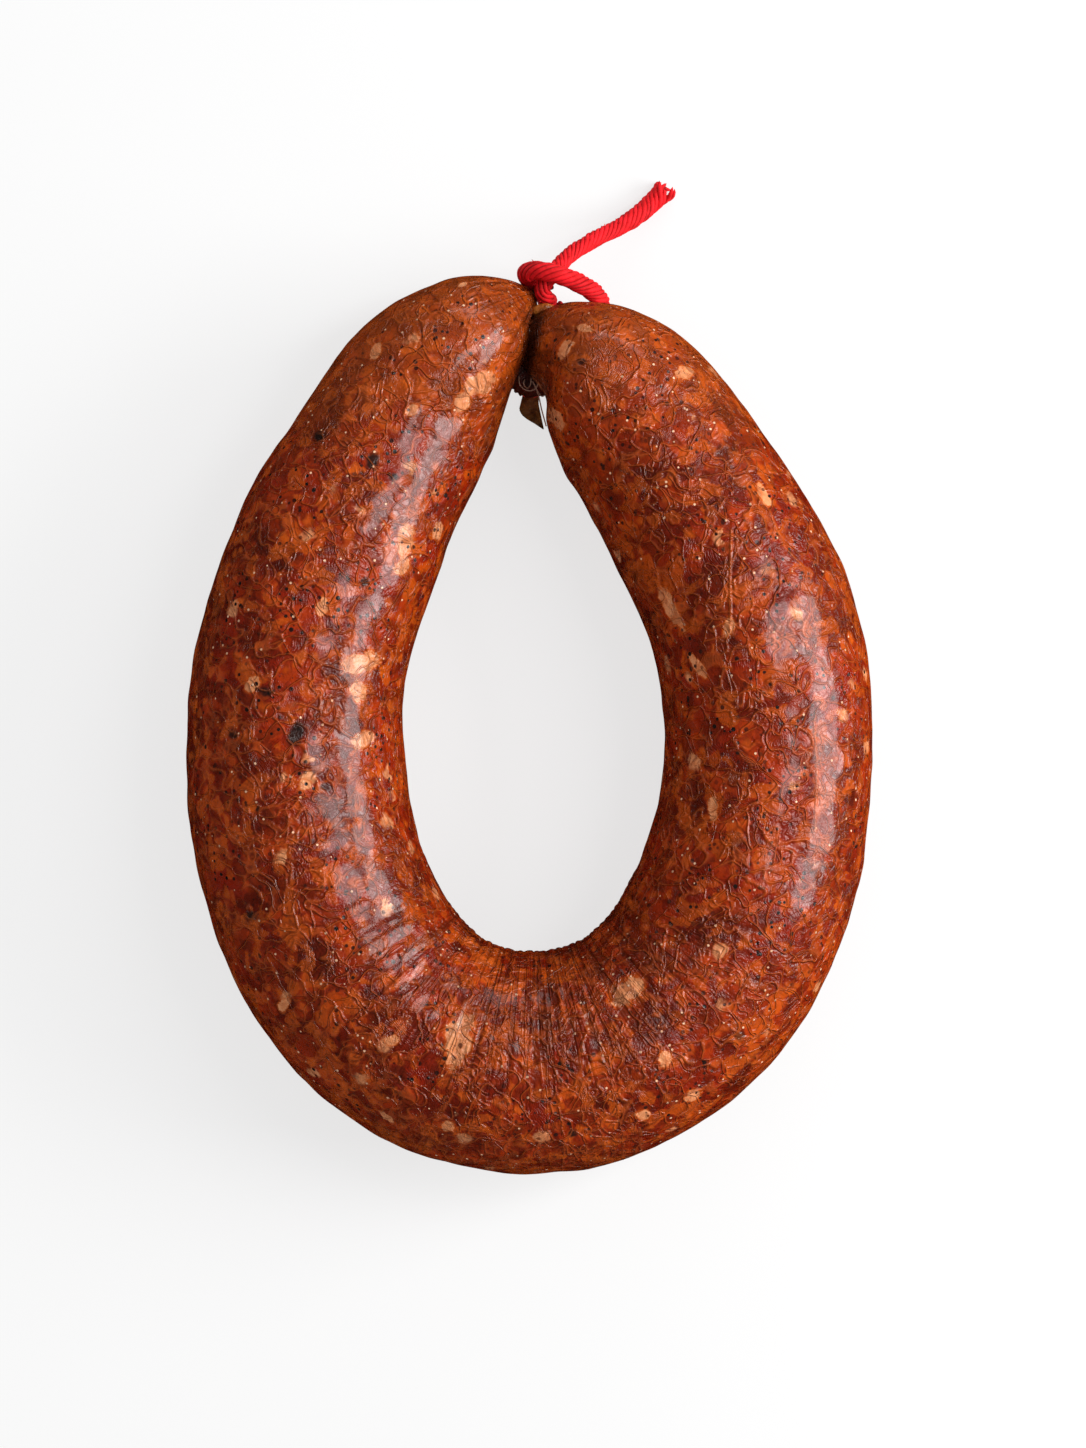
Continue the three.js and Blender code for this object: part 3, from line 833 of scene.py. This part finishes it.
TWINE_ROUTE = [
    (4.3, 74.2, 6.6), (5.2, 73, 6.1), (5.2, 71.5, 5.5), (4.3, 69, 4.7), (3.6, 65.5, 4.1),
    (3.35, 62.3, 3.9), (2.5, 60.2, 3.6), (0.4, 59.3, 3.4), (-1.7, 60.2, 3.1), (-2.55, 62.3, 2.7),
    (-1.9, 64.7, 2.1), (0.2, 67, 1.7), (3.0, 69.1, 1.5), (6.8, 70.5, 1.5), (10.2, 70.7, 3.0),
    (12.3, 71.9, 6.2), (12.7, 73.8, 9.6), (11.6, 75.4, 12.8), (9.3, 76.8, 15.6),
    (6.4, 77.8, 17.6), (3.5, 78.7, 18.2), (0.8, 79.2, 17.0), (-0.6, 78.9, 14.6),
    (-0.3, 78.5, 11.7), (0.4, 77.8, 9.6), (1.7, 76.3, 8.6), (2.9, 74.8, 9.2),
    (3.4, 74.45, 11.0), (3.0, 74.6, 13.2), (2.2, 75.8, 14.8), (2.8, 77.4, 15.0),
    (4.3, 79.3, 14.1), (7.0, 82.5, 11.4), (11.1, 85.5, 8.2), (15.1, 87.8, 5.3),
    (19.3, 90.6, 3.1), (21.9, 93.1, 1.8), (25.0, 96.1, 1.45)]
TWINE_DIAMETER = 2.7
YARNS = 8                         # laid round the twine; one more runs down its middle
TIPS = 4                          # loose ends that show only where the twine frays
YARN_RADIUS = 0.46
YARN_REACH = 1.02                 # from the middle of the twine to that of a yarn
TWIST_LENGTH = 9.5                # one full turn of the yarns
FRAY_LENGTH = 5.0
FRAY_REACH = 1.12
LOOP_SWELL = 0.16                 # extra thickness where the twine loops over the gap
TIP_SWELL = 0.22                  # and where it opens towards its free end
LOOP_FROM, LOOP_TO = 50, 74       # mm along the twine
TWINE_STEP = 0.4
BRISTLES = 34                     # short fibre ends that stand out of the twine
BRISTLE_RADIUS = 0.11
BRISTLE_TAPER = np.array([1.0, 1.0, 0.8, 0.0])
DEEP_RED = (0.50, 0.002, 0.004)
BRIGHT_RED = (0.78, 0.007, 0.014)
GROOVE_SHADE_RED = (0.27, 0.0008, 0.0015)


def make_twine():
    """Eight yarns laid up in one twist, with their tips fanned out at the free end."""
    path, length = evenly(smooth_through(TWINE_ROUTE), TWINE_STEP)
    tangents, sides, ups = frames_along(path)
    draw = random.Random(7)
    bm = bmesh.new()
    reached = np.linspace(0.0, length, len(path))
    fray = np.clip((reached - (length - FRAY_LENGTH)) / FRAY_LENGTH, 0.0, 1.0)
    swell = smoothstep(reached, LOOP_FROM - 6, LOOP_FROM)
    swell = swell * smoothstep(-reached, -LOOP_TO - 6, -LOOP_TO)
    swell = 1 + LOOP_SWELL * swell + TIP_SWELL * smoothstep(reached, length - 16, length - 5)
    for yarn in range(YARNS + 1 + TIPS):
        laid = yarn < YARNS
        loose = yarn > YARNS
        lost = int(draw.uniform(0.0, 1.6) / TWINE_STEP)
        spread = draw.uniform(0.35, 1.0) if laid else draw.uniform(0.0, 0.5)
        fat = draw.uniform(0.90, 1.08)
        lean = draw.uniform(-0.6, 0.6)
        angle = TURN * (yarn / YARNS - reached / TWIST_LENGTH) + lean * fray ** 2
        breathe = np.array([noise.noise((s / 4, yarn * 3.1, 0.5)) for s in reached])
        reach = YARN_REACH * (1 + 0.14 * breathe) * (1.0 if laid else 0.35 * loose)
        reach = reach * swell + FRAY_REACH * spread * fray ** 1.6
        line = (path + sides * (np.cos(angle) * reach)[:, None]
                + ups * (np.sin(angle) * reach)[:, None])
        line[:, 2] = np.maximum(line[:, 2], YARN_RADIUS + 0.02)
        uneven = np.array([noise.noise((s / 2.5, yarn * 5.7, 7.5)) for s in reached])
        thick = YARN_RADIUS * fat * swell * (1 - 0.25 * fray) * (1 + 0.16 * uneven)
        first = len(line) - int(FRAY_LENGTH / TWINE_STEP) if loose else 0
        line = line[first:len(line) - lost]
        thick = thick[first:first + len(line)]
        thick[-4:] *= (0.98, 0.90, 0.65, 0.0)
        thick[:2] *= (0.0, 0.8)
        points = tube_points(line, thick, 10)
        rolled_grid(bm, points * MM)
    for _ in range(BRISTLES):
        spot = draw.randrange(len(path) // 2, len(path) - 4)
        turn = draw.uniform(0.0, TURN)
        lean = draw.uniform(0.3, 1.2)
        out = sides[spot] * math.cos(turn) + ups[spot] * math.sin(turn)
        rise = draw.uniform(0.35, 0.75)
        start = path[spot] + out * (TWINE_DIAMETER / 2 - 0.15)
        end = start + out * rise + tangents[spot] * rise * lean
        line = np.linspace(start, end, 4)
        line[:, 2] = np.maximum(line[:, 2], 0.1)
        rolled_grid(bm, tube_points(line, BRISTLE_RADIUS * BRISTLE_TAPER, 5) * MM)
    # distance of each point from the twine's middle, used for the painted shade in the grooves
    crest = bm.verts.layers.float.new("crest")
    for vert in bm.verts:
        near = np.linalg.norm(path - np.array(vert.co) / MM, axis=1)
        nearest = int(np.argmin(near))
        vert[crest] = near[nearest] / swell[nearest] + fray[nearest]
    twine = add_piece("twisted_twine", bm, ["tie_string"])
    twine.data.materials.append(twine_paint())


def twine_paint():
    """Red cotton, with painted shade in the grooves between the yarns."""
    paint = Paint("cotton")
    shade = paint.noise(paint.object, 1.2 * MM, 3.0)["Fac"]
    colour = paint.blend(paint.fade(shade, 0.3, 0.7), DEEP_RED, BRIGHT_RED)
    # painted shade: darker red where a point lies deep between the yarns
    crest = paint.fade(paint.attribute("crest"), 1.22, 1.42)
    colour = paint.blend(crest, GROOVE_SHADE_RED, colour)
    fibre = paint.noise(paint.moved(paint.uv, scale=(60, 5, 1)), 1.0, 3.0)["Fac"]
    normal = paint.bump(fibre, 0.08 * MM)
    paint.set(Base_Color=colour, Roughness=0.7, Normal=normal, Specular_IOR_Level=0.2)
    return paint.material


# ---------------------------------------------------------------- surroundings

FLOOR_REACH = 1.6


def make_floor():
    """A flat floor at the height on which the link rests."""
    bm = bmesh.new()
    bmesh.ops.create_grid(bm, x_segments=1, y_segments=1, size=FLOOR_REACH)
    mesh = bpy.data.meshes.new("floor")
    bm.to_mesh(mesh)
    bm.free()
    floor = bpy.data.objects.new("floor", mesh)
    bpy.context.scene.collection.objects.link(floor)
    floor.visible_glossy = False
    mesh.materials.append(floor_paint())


def floor_paint():
    """A plain white board, lit a little from within so that shadows on it stay soft."""
    paint = Paint("floor")
    paint.set(Base_Color=(0.22, 0.22, 0.22), Roughness=0.8, Specular_IOR_Level=0.0,
              Emission_Color=(1.0, 1.0, 1.0), Emission_Strength=0.70)
    return paint.material


def add_light(name, place, aim, size, power):
    """A rectangular light box that faces the aim, with its size in metres."""
    data = bpy.data.lights.new(name, "AREA")
    data.shape = "RECTANGLE"
    data.size, data.size_y = size
    data.energy = power
    light = bpy.data.objects.new(name, data)
    light.location = place
    light.rotation_euler = (Vector(aim) - Vector(place)).to_track_quat("-Z", "Y").to_euler()
    bpy.context.scene.collection.objects.link(light)


def make_light():
    """White surroundings, a large box to the right, and weaker ones beyond and above."""
    world = bpy.data.worlds.new("white")
    world.use_nodes = True
    world.node_tree.nodes["Background"].inputs["Color"].default_value = (1, 1, 1, 1)
    world.node_tree.nodes["Background"].inputs["Strength"].default_value = 0.56
    world.cycles_visibility.glossy = False
    bpy.context.scene.world = world
    bpy.context.scene.view_settings.view_transform = "Standard"
    add_light("right_box", (0.62, 0.06, 0.34), (0, 0, 0.02), (0.46, 0.30), 6.0)
    add_light("far_box", (0.12, 0.60, 0.26), (0, 0.02, 0.02), (0.5, 0.12), 0.7)
    add_light("high_box", (0.36, 0.14, 0.60), (0, 0, 0.02), (0.14, 0.34), 1.6)


make_camera()
make_twine()
make_skin()
make_necks()
make_tail()
make_fold()
make_threads()
make_floor()
make_light()
